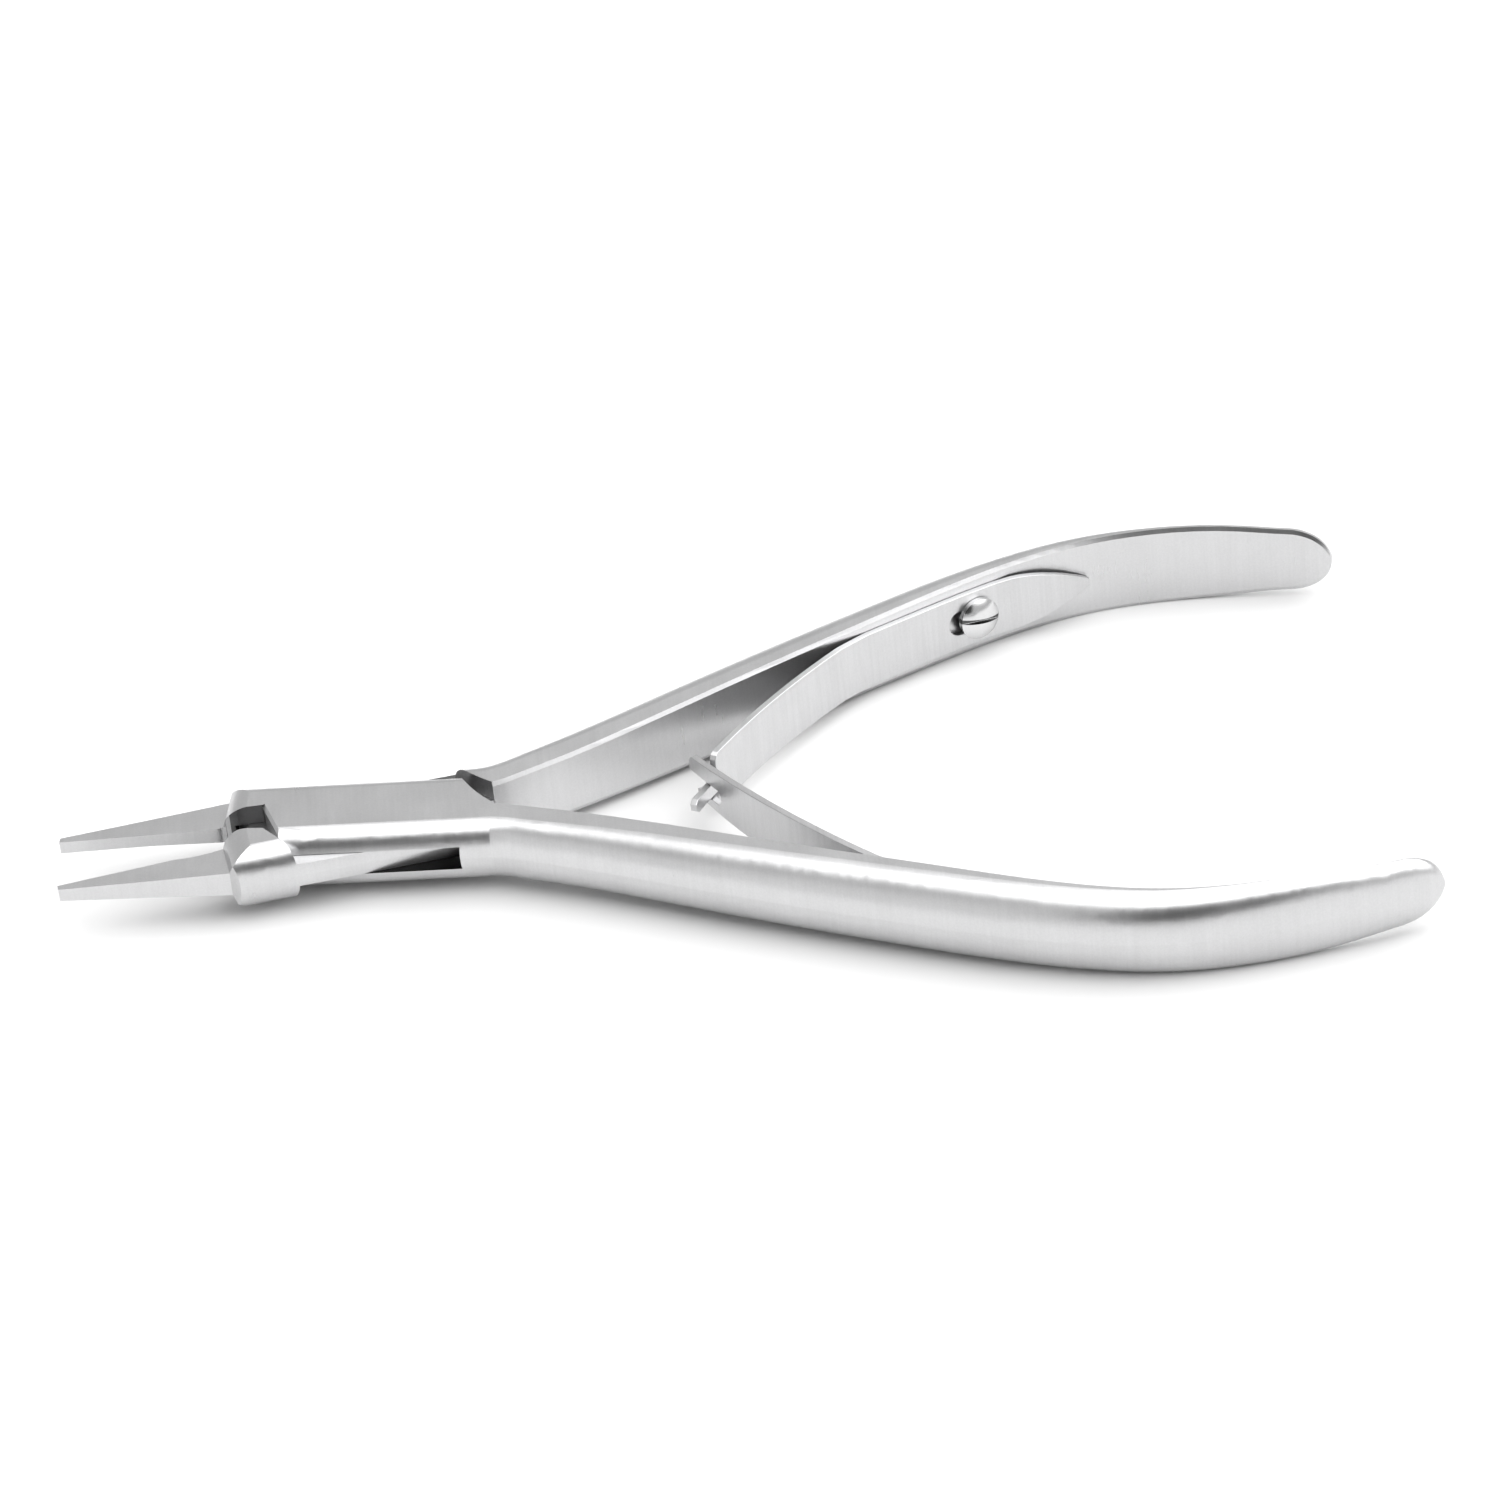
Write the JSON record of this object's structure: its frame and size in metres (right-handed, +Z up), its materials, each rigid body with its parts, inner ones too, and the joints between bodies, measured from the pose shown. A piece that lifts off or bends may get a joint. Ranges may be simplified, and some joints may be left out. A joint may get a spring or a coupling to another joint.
{
  "type": "flat nose pliers",
  "caption": "Slim flat nose pliers with smooth tapered jaws, a box joint, bowed handles and interlocking leaf springs that push them open.",
  "frame": {"origin": "on the pivot axis, at the underside of the box joint", "axes": "+Z up along the pivot, +X from the pivot towards the handles, +Y towards the handle of the tongue half, the jaws point along -X"},
  "size_m": [0.1298, 0.072, 0.0086],
  "materials": {
    "satin_steel": "satin, finely ground",
    "pin_steel": "ground flush with the box",
    "spring_steel": "satin rolled strip",
    "bright_screw": "bright nickel plated"
  },
  "bodies": {
    "box_side": {"box_half": "satin_steel", "pivot_pin": "pin_steel", "fork_spring_foot": "spring_steel", "fork_spring_screw": "bright_screw"},
    "tongue_side": {"tongue_half": "satin_steel", "tongue_spring_foot": "spring_steel", "tongue_spring_screw": "bright_screw"},
    "fork_blade": {"fork_spring_blade": "spring_steel"},
    "tongue_blade": {"tongue_spring_blade": "spring_steel"}
  },
  "joints": [
    {"name": "pivot", "type": "hinge", "parent": "box_side", "child": "tongue_side", "pos_m": [0, 0, 0], "axis": [0, 0, 1], "range_deg": [-15.1, 0], "stiffness_Nm_per_rad": 1.2, "springref_deg": 2.86},
    {"name": "fork_flex", "type": "hinge", "parent": "box_side", "child": "fork_blade", "pos_m": [0.0498, -0.02181, 0.0032], "axis": [0, 0, 1], "range_deg": [0, 11.3]},
    {"name": "tongue_flex", "type": "hinge", "parent": "tongue_side", "child": "tongue_blade", "pos_m": [0.04998, 0.02043, 0.0032], "axis": [0, 0, 1], "range_deg": [-11.3, 0]}
  ],
  "couplings": [
    {"joint": "fork_flex", "follows": "pivot", "ratio": -0.74},
    {"joint": "tongue_flex", "follows": "pivot", "ratio": 0.74}
  ]
}
